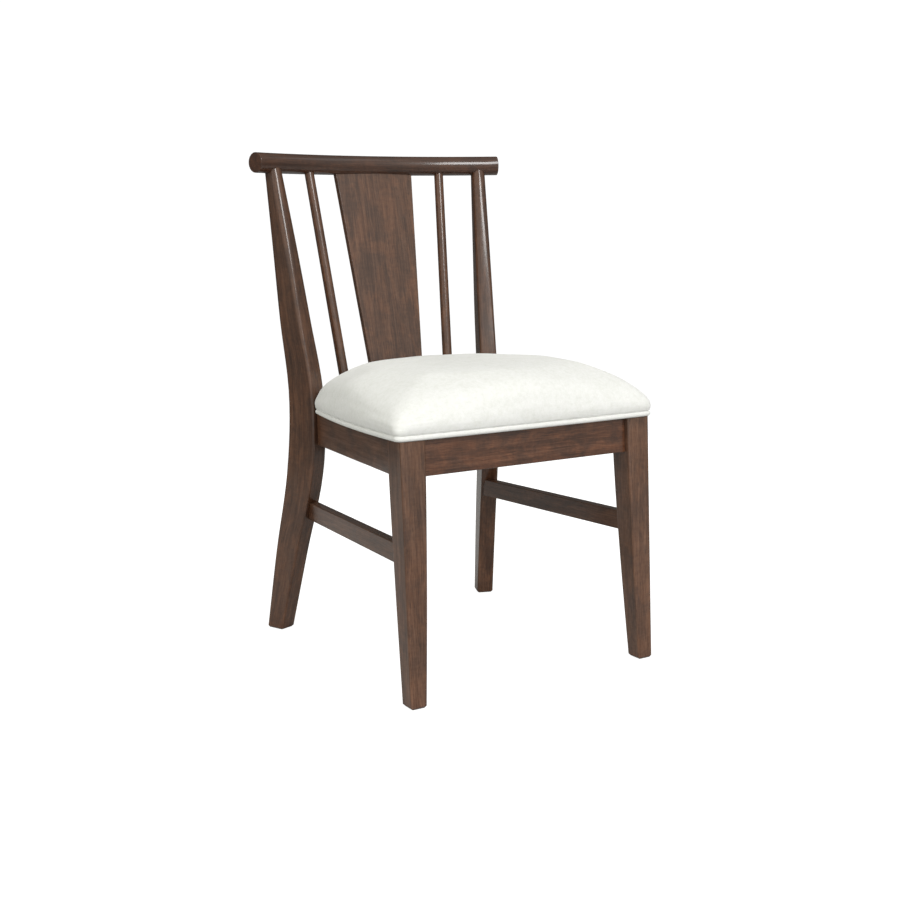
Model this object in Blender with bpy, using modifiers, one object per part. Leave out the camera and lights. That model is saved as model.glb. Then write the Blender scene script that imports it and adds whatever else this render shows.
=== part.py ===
"""Dining chair with a bowed round crest rail, two round back spindles, a tapered flat splat and an
upholstered seat on a dowelled timber frame.

Metres, +Z up, the sitter faces -Y, and the origin is on the floor at the middle of the footprint.
"""
from math import atan2, cos, pi, radians, sin

import bmesh
import bpy
from mathutils import Matrix, Vector

# Overall sizes
OVERALL_HEIGHT = 0.8458
OVERALL_DEPTH = 0.5452
SEAT_FRAME_TOP = 0.4020

# Gaps and small allowances
FIT = 0.0003
OVERRUN = 0.0050
COPE_BITE = 0.0110
WELD = 0.00001
EDGE_EASE = 0.0012
FOOT_EASE = 0.0032

# Front legs: straight outer faces, inner faces drawn in towards the floor
FRONT_LEG_SPREAD = 0.4530
FRONT_LEG_WIDTH = 0.0425
FRONT_LEG_DEPTH = 0.0455
FRONT_FOOT_WIDTH = 0.0270
FRONT_FOOT_DEPTH = 0.0315
FRONT_LEG_RAKE = 0.0094
FRONT_LEG_CORNER = 0.0040
FRONT_LEG_TAPER_POWER = 1.4
FRONT_LEG_STATIONS = 10

# Back posts: leg and back upright sawn from one board, turned in plan
POST_TURN = radians(21.5)
POST_SPREAD = 0.3690
POST_WIDTH = 0.0312
POST_FOOT_DEPTH = 0.0380
POST_KNUCKLE_DEPTH = 0.0632
POST_TOP_WIDTH = 0.0252
POST_TOP_DEPTH = 0.0276
POST_FOOT_RAKE = 0.0919
POST_TOP_RAKE = 0.0582
POST_CORNER = 0.0038
POST_STATIONS = 34
# Heights, rakes and sections of the sawn profile, floor to crest
POST_HEIGHT_SHARES = (0.0, 0.18, 0.36, 0.52, 0.68, 0.83, 1.0)
POST_RAKE_SHARES = (1.0, 0.57, 0.11, 0.0, 0.33, 0.63, 1.0)
POST_DEPTH_SHARES = (0.0, 0.57, 1.0, 0.88, 0.66, 0.39, 0.0)
POST_WIDTH_SHARES = (0.0, 0.0, 0.0, 0.0, 0.17, 0.52, 1.0)
POST_ROUND_SHARES = (0.0, 0.0, 0.0, 0.06, 0.22, 0.6, 1.0)
POST_TENON_DIAMETER = 0.0160
POST_TENON_REACH = 0.0040
POST_TENON_ROOT = 0.0300

# Crest rail: a round rail bent to an arc whose middle is set back
CREST_SPAN = 0.4826
CREST_SAG = 0.0417
CREST_DIAMETER = 0.0344
CREST_RIM = 0.0026
CREST_STEPS = 28

# Spindles and splat, all standing on the middle line of the rear rail
SPINDLE_FOOT_DIAMETER = 0.0180
SPINDLE_TOP_DIAMETER = 0.0166
SPINDLE_FOOT_SPREAD = 0.2040
SPINDLE_TOP_SPREAD = 0.2632
SPLAT_THICKNESS = 0.0120
SPLAT_FOOT_WIDTH = 0.0948
SPLAT_TOP_WIDTH = 0.1552
SPLAT_EDGE_ROUND = 0.0030
BACK_SOCKET_DEPTH = 0.0200

# Seat rails
RAIL_HEIGHT = 0.0555
FRONT_RAIL_THICKNESS = 0.0220
FRONT_RAIL_RECESS = 0.0092
SIDE_RAIL_THICKNESS = 0.0190
SIDE_RAIL_RECESS = 0.0085
REAR_RAIL_THICKNESS = 0.0280
POST_FACE_INSET = 0.0090

# Side stretchers
STRETCHER_HEIGHT = 0.0310
STRETCHER_THICKNESS = 0.0170
STRETCHER_BOTTOM = 0.2115
STRETCHER_RECESS = 0.0114

# Dowels
DOWEL_DIAMETER = 0.0080
DOWEL_LENGTH = 0.0340
DOWEL_END_ROOM = 0.0010
RAIL_DOWEL_PITCH = 0.0240
RAIL_DOWEL_STAGGER = 0.0060
STRETCHER_DOWEL_PITCH = 0.0150

# Corner blocks and screws
BLOCK_HEIGHT = 0.0360
BLOCK_LEG_ROOM = 0.0340
BLOCK_REACH = 0.0360
SCREW_HEAD_DIAMETER = 0.0080
SCREW_HEAD_HEIGHT = 0.0028
SCREW_SHANK_DIAMETER = 0.0040
SCREW_POINT_LENGTH = 0.0040
BLOCK_SCREW_LENGTH = 0.0260
BLOCK_SCREW_BITE = 0.0150
BLOCK_SCREW_HEIGHT = 0.0100
SEAT_SCREW_BITE = 0.0090
SCREW_CLEARANCE = 0.0004

# Seat outline, measured outside the piping
SEAT_FRONT_WIDTH = 0.4700
SEAT_FRONT_OVERHANG = 0.0040
SEAT_FRONT_BOW = 0.0035
SEAT_FRONT_CORNER = 0.0170
SEAT_SIDE_BOW = 0.0095
SEAT_POST_GAP = 0.0030
SEAT_POST_INSET = 0.0010
SEAT_REAR_WIDTH = 0.2700
SEAT_REAR_CORNER = 0.0120

# Seat build-up
PIPING_DIAMETER = 0.0086
FABRIC_THICKNESS = 0.0015
FLANGE_WIDTH = 0.0400
BOARD_THICKNESS = 0.0120
BOARD_INSET = 0.0150
CUSHION_HEIGHT = 0.0925
CUSHION_BULGE = 0.0015
SEAM_DEPTH = 0.0060
SEAM_RISE = 0.0008
CUSHION_TUCK = 0.0020
DUST_COVER_THICKNESS = 0.0010
DUST_COVER_GAP = 0.0005
CUSHION_CORNER_DROP = 0.0440
CUSHION_DROP_START = 0.0120
CUSHION_DROP_POWER = 4.6
# Side and crown of the cushion: plan scale, and height as a share of the whole
CUSHION_CROWN_SHARES = (
    (1.0, 0.25), (0.997, 0.42), (0.985, 0.60), (0.960, 0.73), (0.915, 0.83),
    (0.840, 0.90), (0.700, 0.955), (0.480, 0.985), (0.240, 1.0),
)

# Counts
CORNER_STEPS = 4
ROUND_SIDES = 20
DOWEL_SIDES = 12
SCREW_STEPS = 12
CREST_BEVEL_RESOLUTION = 8
PIPING_BEVEL_RESOLUTION = 2
EDGE_STEPS = 5

HANDS = ((1, "left"), (-1, "right"))
scene = bpy.context.scene


def clear_scene():
    """Remove every object and collection of the open scene."""
    for item in list(bpy.data.objects):
        bpy.data.objects.remove(item, do_unlink=True)
    for group in list(bpy.data.collections):
        bpy.data.collections.remove(group)


def new_material(name, colour, roughness, metallic=0.0):
    """A plain surface of one colour."""
    material = bpy.data.materials.new(name)
    material.use_nodes = True
    shader = material.node_tree.nodes["Principled BSDF"]
    shader.inputs["Base Color"].default_value = (*colour, 1.0)
    shader.inputs["Roughness"].default_value = roughness
    shader.inputs["Metallic"].default_value = metallic
    return material


clear_scene()
chair = bpy.data.collections.new("spindle_back_chair")
cutters = bpy.data.collections.new("cutters")
scene.collection.children.link(chair)
scene.collection.children.link(cutters)

stained_wood = new_material("stained_wood", (0.085, 0.045, 0.032), 0.38)
block_wood = new_material("block_wood", (0.42, 0.30, 0.18), 0.65)
dowel_wood = new_material("dowel_wood", (0.62, 0.48, 0.31), 0.6)
board_wood = new_material("board_wood", (0.55, 0.42, 0.27), 0.7)
seat_fabric = new_material("seat_fabric", (0.88, 0.88, 0.84), 0.85)
foam_filling = new_material("foam_filling", (0.90, 0.85, 0.62), 0.95)
dust_cloth = new_material("dust_cloth", (0.02, 0.02, 0.02), 0.95)
screw_steel = new_material("screw_steel", (0.60, 0.58, 0.52), 0.35, 1.0)


def add_object(name, mesh, material, collection=chair):
    """Link a mesh as a named object; one with no material is a cutter."""
    item = bpy.data.objects.new(name, mesh)
    collection.objects.link(item)
    if material:
        mesh.materials.clear()
        mesh.materials.append(material)
    else:
        item.hide_render = True
        item.display_type = "WIRE"
    return item


def mesh_from(bm, name):
    """Close a bmesh into a mesh."""
    mesh = bpy.data.meshes.new(name)
    bm.to_mesh(mesh)
    bm.free()
    return mesh


def add_piece(bm, name, material):
    """A visible piece, or a cutter where the material is None."""
    return add_object(name, mesh_from(bm, name), material, chair if material else cutters)


def smooth(item, angle=radians(35)):
    """Shade the round faces smooth and keep the real edges sharp."""
    item.data.shade_smooth()
    item.data.set_sharp_from_angle(angle=angle)
    return item


def ease_edges(item, width, segments=2, angle=radians(40)):
    """Take the sharpness off the edges of a piece."""
    bevel = item.modifiers.new("eased edges", "BEVEL")
    bevel.width = width
    bevel.segments = segments
    bevel.limit_method = "ANGLE"
    bevel.angle_limit = angle
    return item


def cut(item, tool):
    """Take the tool's space out of a piece."""
    change = item.modifiers.new("cut by " + tool.name, "BOOLEAN")
    change.operation = "DIFFERENCE"
    change.object = tool
    return item


def unite(item, tool):
    """Make the tool's solid part of a piece."""
    change = item.modifiers.new("joined to " + tool.name, "BOOLEAN")
    change.operation = "UNION"
    change.object = tool
    return item


def along(start, end):
    """The turn and place that carry the Z axis onto the line from start to end."""
    line = Vector(end) - Vector(start)
    turn = line.to_track_quat("Z", "Y").to_matrix().to_4x4()
    return Matrix.Translation((Vector(start) + Vector(end)) / 2) @ turn


def add_rod(bm, start, end, radius, end_radius, sides):
    """A round rod between two points, straight or tapered."""
    bmesh.ops.create_cone(
        bm, cap_ends=True, segments=sides, radius1=radius, radius2=end_radius,
        depth=(Vector(end) - Vector(start)).length, matrix=along(start, end),
    )


def rods(name, lines, material=None):
    """One object of straight rods, each given as start, end, radius and number of sides."""
    bm = bmesh.new()
    for start, end, radius, sides in lines:
        add_rod(bm, start, end, radius, radius, sides)
    return add_piece(bm, name, material)


def loft(name, rings, material, side=1):
    """A closed solid through rings of points that run anticlockwise from above, bottom to top."""
    bm = bmesh.new()
    loops = []
    for ring in rings:
        points = [Vector((x * side, y, z)) for x, y, z in ring]
        if side < 0:
            points.reverse()
        loops.append([bm.verts.new(point) for point in points])
    for low, high in zip(loops, loops[1:]):
        for here in range(len(low)):
            ahead = (here + 1) % len(low)
            bm.faces.new((low[here], low[ahead], high[ahead], high[here]))
    bm.faces.new(list(reversed(loops[0])))
    bm.faces.new(loops[-1])
    return add_piece(bm, name, material)


def solid_from_curve(item, material):
    """Turn a curve object into one closed mesh object of the same name."""
    bpy.context.view_layer.update()
    graph = bpy.context.evaluated_depsgraph_get()
    mesh = bpy.data.meshes.new_from_object(item.evaluated_get(graph))
    name = item.name
    place = item.matrix_world.copy()
    bpy.data.objects.remove(item, do_unlink=True)
    bm = bmesh.new()
    bm.from_mesh(mesh)
    bmesh.ops.remove_doubles(bm, verts=bm.verts, dist=WELD)
    bmesh.ops.recalc_face_normals(bm, faces=bm.faces)
    solid = add_piece(bm, name, material)
    solid.matrix_world = place
    return solid


def tube(name, points, diameter, resolution, material, cyclic=False):
    """A round bar along a line of points."""
    data = bpy.data.curves.new(name, "CURVE")
    data.dimensions = "3D"
    data.bevel_depth = diameter / 2
    data.bevel_resolution = resolution
    data.use_fill_caps = not cyclic
    spline = data.splines.new("POLY")
    spline.points.add(len(points) - 1)
    for knot, point in zip(spline.points, points):
        knot.co = (*point, 1.0)
    spline.use_cyclic_u = cyclic
    item = bpy.data.objects.new(name, data)
    chair.objects.link(item)
    return solid_from_curve(item, material)


def plate(name, outline, thickness, place, material):
    """A flat outline with a thickness, its middle plane put at the given place."""
    data = bpy.data.curves.new(name, "CURVE")
    data.dimensions = "2D"
    data.fill_mode = "BOTH"
    data.extrude = thickness / 2
    spline = data.splines.new("POLY")
    spline.points.add(len(outline) - 1)
    for knot, (x, y) in zip(spline.points, outline):
        knot.co = (x, y, 0.0, 1.0)
    spline.use_cyclic_u = True
    item = bpy.data.objects.new(name, data)
    item.matrix_world = place
    chair.objects.link(item)
    return solid_from_curve(item, material)


def curve_through(places, values, where):
    """A smooth value at a place, through values given at rising places."""
    last = len(places) - 1
    span = max(i for i in range(last) if places[i] <= where or i == 0)
    slopes = []
    for i in (span, span + 1):
        low, high = max(i - 1, 0), min(i + 1, last)
        slopes.append((values[high] - values[low]) / (places[high] - places[low]))
    width = places[span + 1] - places[span]
    t = (where - places[span]) / width
    return (
        values[span] * (1 + 2 * t) * (1 - t) ** 2
        + values[span + 1] * t * t * (3 - 2 * t)
        + slopes[0] * width * t * (1 - t) ** 2
        - slopes[1] * width * t * t * (1 - t)
    )


def rounded_section(width, depth, corner):
    """A rectangle with round corners about the origin, anticlockwise."""
    points = []
    for quarter in range(4):
        start = quarter * pi / 2
        x = (width / 2 - corner) * (1 if quarter in (0, 3) else -1)
        y = (depth / 2 - corner) * (1 if quarter in (0, 1) else -1)
        for step in range(CORNER_STEPS + 1):
            angle = start + step * pi / 2 / CORNER_STEPS
            points.append((x + corner * cos(angle), y + corner * sin(angle)))
    return points


# Places worked out from the sizes above
crest_radius = CREST_DIAMETER / 2
crest_z = OVERALL_HEIGHT - crest_radius
crest_bend = ((CREST_SPAN / 2) ** 2 + CREST_SAG ** 2) / (2 * CREST_SAG)
front_face_y = -OVERALL_DEPTH / 2
rail_bottom = SEAT_FRAME_TOP - RAIL_HEIGHT
rail_middle = SEAT_FRAME_TOP - RAIL_HEIGHT / 2
stretcher_middle = STRETCHER_BOTTOM + STRETCHER_HEIGHT / 2
post_depth_axis = Vector((sin(POST_TURN), cos(POST_TURN)))
post_width_axis = Vector((cos(POST_TURN), -sin(POST_TURN)))

post_heights = [share * crest_z for share in POST_HEIGHT_SHARES]
knuckle = POST_RAKE_SHARES.index(0.0)
post_rakes = [
    share * (POST_FOOT_RAKE if i < knuckle else POST_TOP_RAKE)
    for i, share in enumerate(POST_RAKE_SHARES)
]
post_depths = [
    end + share * (POST_KNUCKLE_DEPTH - end)
    for share, end in zip(
        POST_DEPTH_SHARES, [POST_FOOT_DEPTH] * knuckle + [POST_TOP_DEPTH] * (len(post_rakes) - knuckle)
    )
]


def crest_y(x):
    """How far the crest's centreline lies in front of its middle, at a distance from the middle."""
    return (crest_bend ** 2 - x ** 2) ** 0.5 - crest_bend


def post_section(z, grow=0.0):
    """Depth, width, corner radius and centre of a back post's section at a height, in plan."""
    depth = curve_through(post_heights, post_depths, z)
    narrow = curve_through(post_heights, POST_WIDTH_SHARES, z)
    width = POST_WIDTH + (POST_TOP_WIDTH - POST_WIDTH) * max(narrow, 0.0)
    roundness = min(max(curve_through(post_heights, POST_ROUND_SHARES, z), 0.0), 1.0)
    corner = POST_CORNER + (width / 2 - FIT - POST_CORNER) * roundness
    rake = curve_through(post_heights, post_rakes, z)
    centre = post_knuckle + post_depth_axis * rake
    return depth + 2 * grow, width + 2 * grow, corner + grow, centre


def post_ring(z, shrink=0.0, grow=0.0):
    """The outline of a left-hand back post at a height."""
    depth, width, corner, centre = post_section(z, grow)
    ring = []
    for across, back in rounded_section(width - 2 * shrink, depth - 2 * shrink, corner - shrink):
        point = centre + post_width_axis * across + post_depth_axis * back
        ring.append((point.x, point.y, z))
    return ring


post_knuckle = Vector((POST_SPREAD / 2, 0.0))
post_knuckle.y = OVERALL_DEPTH / 2 - max(y for x, y, z in post_ring(FOOT_EASE))
post_top = post_section(crest_z)[3]
crest_middle_y = post_top.y - crest_y(post_top.x)
rear_rail_y = post_section(rail_middle)[3].y


def post_rings(low, high, count, grow=0.0):
    """Outlines of a left-hand back post between two heights."""
    return [post_ring(low + (high - low) * i / count, grow=grow) for i in range(count + 1)]


def post_front_point(z, inset):
    """The point on a left-hand post's front face at a distance from its outer corner."""
    depth, width, _, centre = post_section(z)
    outer = centre - post_depth_axis * depth / 2 + post_width_axis * width / 2
    return outer - post_width_axis * inset


def front_leg_faces(z):
    """Inner, outer, front and back faces of a left-hand front leg at a height."""
    drawn_in = max(1 - z / SEAT_FRAME_TOP, 0.0) ** FRONT_LEG_TAPER_POWER
    width = FRONT_LEG_WIDTH - (FRONT_LEG_WIDTH - FRONT_FOOT_WIDTH) * drawn_in
    depth = FRONT_LEG_DEPTH - (FRONT_LEG_DEPTH - FRONT_FOOT_DEPTH) * drawn_in
    outer = FRONT_LEG_SPREAD / 2
    front = front_face_y + FRONT_LEG_RAKE * z / SEAT_FRAME_TOP
    return outer - width, outer, front, front + depth


def front_leg_ring(z, shrink=0.0):
    """The outline of a left-hand front leg at a height."""
    inner, outer, front, back = front_leg_faces(z)
    centre = Vector(((inner + outer) / 2, (front + back) / 2))
    section = rounded_section(outer - inner - 2 * shrink, back - front - 2 * shrink, FRONT_LEG_CORNER - shrink)
    return [(centre.x + x, centre.y + y, z) for x, y in section]


holes = {}


def drill(target, start, end, radius, sides, layer="bores"):
    """Note a round hole to bore in a piece; holes that run into each other are in separate layers."""
    holes.setdefault((target, layer), []).append((start, end, radius, sides))


def dowel_joint(name, point, direction, heights, first, second):
    """Two dowels, one above the other, across a joint between two pieces."""
    run = Vector((*direction, 0.0)).normalized()
    reach = DOWEL_LENGTH / 2
    bore = reach + DOWEL_END_ROOM
    for place, height in zip(("low", "high"), heights):
        middle = Vector((point[0], point[1], height))
        line = (middle - run * reach, middle + run * reach, DOWEL_DIAMETER / 2, DOWEL_SIDES)
        smooth(rods("dowel_" + name + "_" + place, [line], dowel_wood))
        for target in (first, second):
            drill(target, middle - run * bore, middle + run * bore, DOWEL_DIAMETER / 2 + FIT, DOWEL_SIDES)


def beam(name, start, end, thickness, bottom, height, material=stained_wood):
    """A straight timber on edge between two points in plan, with eased edges."""
    start, end = Vector(start), Vector(end)
    run = end - start
    bm = bmesh.new()
    bmesh.ops.create_cube(bm, size=1.0)
    bmesh.ops.scale(bm, vec=(run.length, thickness, height), verts=bm.verts)
    item = add_piece(bm, name, material)
    middle = (start + end) / 2
    item.location = (middle.x, middle.y, bottom + height / 2)
    item.rotation_euler.z = atan2(run.y, run.x)
    return ease_edges(item, EDGE_EASE)


def mirrored(point, side):
    """A plan point of the left-hand side, or its mirror image on the right."""
    return Vector((point[0] * side, point[1]))


def make_front_legs():
    """The two front legs, with small bevels at the floor."""
    for side, hand in HANDS:
        rings = [front_leg_ring(0.0, FOOT_EASE)]
        for i in range(FRONT_LEG_STATIONS + 1):
            rings.append(front_leg_ring(FOOT_EASE + (SEAT_FRAME_TOP - FOOT_EASE) * i / FRONT_LEG_STATIONS))
        smooth(loft("front_leg_" + hand, rings, stained_wood, side))


def make_back_posts():
    """The two back posts, coped under the crest rail and tenoned into it."""
    for side, hand in HANDS:
        rings = [post_ring(0.0, FOOT_EASE)] + post_rings(FOOT_EASE, crest_z, POST_STATIONS)
        post = smooth(loft("back_post_" + hand, rings, stained_wood, side))
        cut(post, crest_space)
        start, end = tenon_line(side)
        radius = POST_TENON_DIAMETER / 2
        unite(post, rods("post_tenon_" + hand, [(start, end, radius, ROUND_SIDES)]))
        drill("crest_rail", start, end + (end - start).normalized() * DOWEL_END_ROOM, radius + FIT, ROUND_SIDES)


def tenon_line(side):
    """Start and end of a post's round tenon, along the post's rake."""
    low = crest_z - crest_radius - POST_TENON_ROOT
    below = post_section(low)[3]
    start = Vector((below.x * side, below.y, low))
    top = Vector((post_top.x * side, post_top.y, crest_z))
    return start, top + (top - start).normalized() * POST_TENON_REACH


def crest_points(overrun=0.0):
    """Points along the crest rail's centreline, left to right."""
    end_angle = atan2(CREST_SPAN / 2, crest_bend - CREST_SAG) + overrun / crest_bend
    points = []
    for i in range(CREST_STEPS + 1):
        angle = end_angle * (2 * i / CREST_STEPS - 1)
        points.append((crest_bend * sin(angle), crest_middle_y + crest_bend * (cos(angle) - 1), crest_z))
    return points


def make_crest():
    """The bent round crest rail, with softened end rims."""
    crest = tube("crest_rail", crest_points(), CREST_DIAMETER, CREST_BEVEL_RESOLUTION, stained_wood)
    ease_edges(smooth(crest), CREST_RIM, 3, radians(60))
    return crest


def make_spindles():
    """Two round spindles from the rear rail to the crest rail, full size in their sockets."""
    for side, hand in HANDS:
        foot_x = SPINDLE_FOOT_SPREAD / 2 * side
        top_x = SPINDLE_TOP_SPREAD / 2 * side
        seat = Vector((foot_x, rear_rail_y, SEAT_FRAME_TOP))
        top = Vector((top_x, crest_middle_y + crest_y(top_x), crest_z))
        run = (top - seat).normalized()
        foot = seat - run * BACK_SOCKET_DEPTH
        bm = bmesh.new()
        add_rod(bm, foot, top, SPINDLE_FOOT_DIAMETER / 2, SPINDLE_TOP_DIAMETER / 2, ROUND_SIDES)
        smooth(add_piece(bm, "spindle_" + hand, stained_wood))
        room = run * DOWEL_END_ROOM
        drill("rear_seat_rail", foot - room, seat + run * OVERRUN, SPINDLE_FOOT_DIAMETER / 2 + FIT, ROUND_SIDES)
        drill("crest_rail", top - run * CREST_DIAMETER, top + room, SPINDLE_TOP_DIAMETER / 2 + 2 * FIT,
              ROUND_SIDES)


def splat_plate(name, grow, material):
    """The tapered splat, or with some growth the space it takes."""
    foot = Vector((0.0, rear_rail_y, SEAT_FRAME_TOP))
    top = Vector((0.0, crest_middle_y, crest_z))
    length = (top - foot).length
    flare = (SPLAT_TOP_WIDTH - SPLAT_FOOT_WIDTH) / 2 / length
    low = -BACK_SOCKET_DEPTH - grow
    high = length + grow
    outline = []
    for height, side in ((low, -1), (low, 1), (high, 1), (high, -1)):
        outline.append(((SPLAT_FOOT_WIDTH / 2 + flare * height + grow) * side, height))
    tilt = atan2(top.z - foot.z, top.y - foot.y)
    place = Matrix.Translation(foot) @ Matrix.Rotation(tilt, 4, "X")
    return plate(name, outline, SPLAT_THICKNESS + 2 * grow, place, material)


def make_splat():
    """The flat splat and the mortise space for it."""
    splat = splat_plate("back_splat", 0.0, stained_wood)
    ease_edges(smooth(splat), SPLAT_EDGE_ROUND, 3)
    return splat_plate("splat_space", FIT, None)


def rail_heights(stagger):
    """Heights of the two dowels of a seat rail joint."""
    return [rail_middle + stagger + RAIL_DOWEL_PITCH / 2 * way for way in (-1, 1)]


def make_front_rail():
    """The front rail, set back from the faces of the front legs."""
    inner, _, front, _ = front_leg_faces(rail_middle)
    middle_y = front + FRONT_RAIL_RECESS + FRONT_RAIL_THICKNESS / 2
    reach = inner + COPE_BITE
    rail = beam("front_seat_rail", (-reach, middle_y), (reach, middle_y),
                FRONT_RAIL_THICKNESS, rail_bottom, RAIL_HEIGHT)
    for side, hand in HANDS:
        cut(rail, leg_spaces[hand])
        dowel_joint("front_rail_" + hand, (inner * side, middle_y), (1, 0), rail_heights(RAIL_DOWEL_STAGGER),
                    "front_seat_rail", "front_leg_" + hand)
    return middle_y + FRONT_RAIL_THICKNESS / 2


def make_rear_rail():
    """The rear rail, between the middles of the back posts."""
    _, width, _, centre = post_section(rail_middle)
    inner = centre.x - width / 2 / cos(POST_TURN)
    reach = inner + COPE_BITE
    rail = beam("rear_seat_rail", (-reach, rear_rail_y), (reach, rear_rail_y),
                REAR_RAIL_THICKNESS, rail_bottom, RAIL_HEIGHT)
    cut(rail, splat_space)
    for side, hand in HANDS:
        cut(rail, post_spaces[hand])
        dowel_joint("rear_rail_" + hand, (inner * side, rear_rail_y), (1, 0), rail_heights(RAIL_DOWEL_STAGGER),
                    "rear_seat_rail", "back_post_" + hand)
    return rear_rail_y - REAR_RAIL_THICKNESS / 2


def side_line(middle_z, recess, thickness):
    """Centreline in plan of a left-hand side member, from the front leg's back face to the post's face."""
    _, outer, _, back = front_leg_faces(middle_z)
    ahead = Vector((outer - recess, back))
    behind = post_front_point(middle_z, POST_FACE_INSET)
    run = (behind - ahead).normalized()
    inward = Vector((-run.y, run.x)) * thickness / 2
    return ahead + inward, behind + inward - run * (inward.length * sin(POST_TURN)), run


def make_side_member(base, middle_z, recess, thickness, bottom, height, dowel_heights):
    """A rail or stretcher on each side, from the front leg to the back post."""
    start, end, run = side_line(middle_z, recess, thickness)
    for side, hand in HANDS:
        name = base + "_" + hand
        item = beam(name, mirrored(start - run * COPE_BITE, side), mirrored(end + run * COPE_BITE, side),
                    thickness, bottom, height)
        cut(item, leg_spaces[hand])
        cut(item, post_spaces[hand])
        direction = mirrored(run, side)
        dowel_joint(name + "_front", mirrored(start, side), direction, dowel_heights, name, "front_leg_" + hand)
        dowel_joint(name + "_back", mirrored(end, side), direction, dowel_heights, name, "back_post_" + hand)
    return start, run


def screw_mesh(length):
    """A countersunk wood screw on the Z axis, head at the origin, pointing down."""
    head = SCREW_HEAD_DIAMETER / 2
    shank = SCREW_SHANK_DIAMETER / 2
    profile = [
        (0.0, 0.0), (head, 0.0), (head, -SCREW_HEAD_HEIGHT / 4), (shank, -SCREW_HEAD_HEIGHT),
        (shank, SCREW_POINT_LENGTH - length), (0.0, -length),
    ]
    bm = bmesh.new()
    verts = [bm.verts.new((x, 0.0, z)) for x, z in profile]
    for low, high in zip(verts, verts[1:]):
        bm.edges.new((low, high))
    item = add_piece(bm, "screw_profile", None)
    turn = item.modifiers.new("turned", "SCREW")
    turn.steps = SCREW_STEPS
    turn.render_steps = SCREW_STEPS
    turn.use_merge_vertices = True
    turn.merge_threshold = WELD
    bpy.context.view_layer.update()
    graph = bpy.context.evaluated_depsgraph_get()
    mesh = bpy.data.meshes.new_from_object(item.evaluated_get(graph))
    bpy.data.objects.remove(item, do_unlink=True)
    mesh.name = "wood_screw"
    return mesh


def block_corner(corner, along_rail, along_side):
    """Plan outline of a diagonal block between two rails that meet near a corner."""
    near, far = BLOCK_LEG_ROOM, BLOCK_LEG_ROOM + BLOCK_REACH
    first = Vector(along_rail).normalized()
    second = Vector(along_side).normalized()
    return [corner + first * near, corner + first * far, corner + second * far, corner + second * near]


def shrunk(outline, distance):
    """A convex outline with each edge moved in by a distance."""
    area = sum(a[0] * b[1] - b[0] * a[1] for a, b in zip(outline, outline[1:] + outline[:1]))
    turn = 1 if area > 0 else -1
    moved = []
    for i, point in enumerate(outline):
        before = (Vector(point) - Vector(outline[i - 1])).normalized()
        after = (Vector(outline[(i + 1) % len(outline)]) - Vector(point)).normalized()
        inward = (Vector((-before.y, before.x)) + Vector((-after.y, after.x))) * turn
        half = inward.length / 2
        moved.append(Vector(point) + inward.normalized() * distance / half)
    return moved


def screw_joint(name, mesh, head, way, length, counterbored, others, pocket):
    """Place a screw and bore the pieces that it passes; its head sits in a pocket in the first."""
    screw = add_object(name, mesh, screw_steel)
    turn = (-way).to_track_quat("Z", "Y").to_matrix().to_4x4()
    screw.matrix_world = Matrix.Translation(head) @ turn
    tip = head + way * (length + SCREW_CLEARANCE)
    for target in (counterbored, *others):
        drill(target, head, tip, SCREW_SHANK_DIAMETER / 2 + SCREW_CLEARANCE, SCREW_STEPS, "screws")
    seat = head + way * (SCREW_HEAD_HEIGHT + SCREW_CLEARANCE)
    drill(counterbored, seat - way * pocket, seat, SCREW_HEAD_DIAMETER / 2 + SCREW_CLEARANCE, SCREW_STEPS, "heads")


def make_corner_blocks(front_inner_y, rear_inner_y, side_start, side_run):
    """Four blocks across the corners of the seat frame, screwed to the rails and to the seat board."""
    on_side = side_start + Vector((-side_run.y, side_run.x)) * SIDE_RAIL_THICKNESS / 2
    to_side = Vector((side_run.y, -side_run.x))
    bottom = SEAT_FRAME_TOP - BLOCK_HEIGHT
    reach = BLOCK_LEG_ROOM + BLOCK_REACH / 2
    block_screw = screw_mesh(BLOCK_SCREW_LENGTH)
    seat_screw = screw_mesh(seat_screw_length)
    for end, rail_y, way in (("front", front_inner_y, 1), ("rear", rear_inner_y, -1)):
        corner = on_side + side_run * ((rail_y - on_side.y) / side_run.y)
        outline = shrunk(block_corner(corner, (-1.0, 0.0), side_run * way), FIT)
        for side, hand in HANDS:
            name = "corner_block_" + end + "_" + hand
            points = [mirrored(point, side) for point in outline]
            place = Matrix.Translation((0.0, 0.0, bottom + BLOCK_HEIGHT / 2))
            plate(name, points, BLOCK_HEIGHT, place, block_wood)
            lines = (
                (corner + Vector((-reach, 0.0)), Vector((0.0, -way)), end + "_seat_rail"),
                (corner + side_run * way * reach, to_side, "side_seat_rail_" + hand),
            )
            for on_rail, into_rail, rail in lines:
                pointing = mirrored(into_rail, side).to_3d()
                tip = mirrored(on_rail, side).to_3d() + pointing * BLOCK_SCREW_BITE
                tip.z = bottom + BLOCK_SCREW_HEIGHT
                screw_joint("screw_" + name + "_" + rail.split("_")[0], block_screw,
                            tip - pointing * BLOCK_SCREW_LENGTH, pointing, BLOCK_SCREW_LENGTH,
                            name, (rail,), BLOCK_REACH / 2 + OVERRUN)
            middle = sum(points, Vector((0.0, 0.0))) / len(points)
            head = Vector((middle.x, middle.y, bottom + FIT))
            passes = ("seat_board", "seat_cover") if end == "rear" else ("seat_board", "dust_cover")
            screw_joint("seat_screw_" + end + "_" + hand, seat_screw, head, Vector((0.0, 0.0, 1.0)),
                        seat_screw_length, name, passes, SCREW_HEAD_HEIGHT + OVERRUN)


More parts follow.
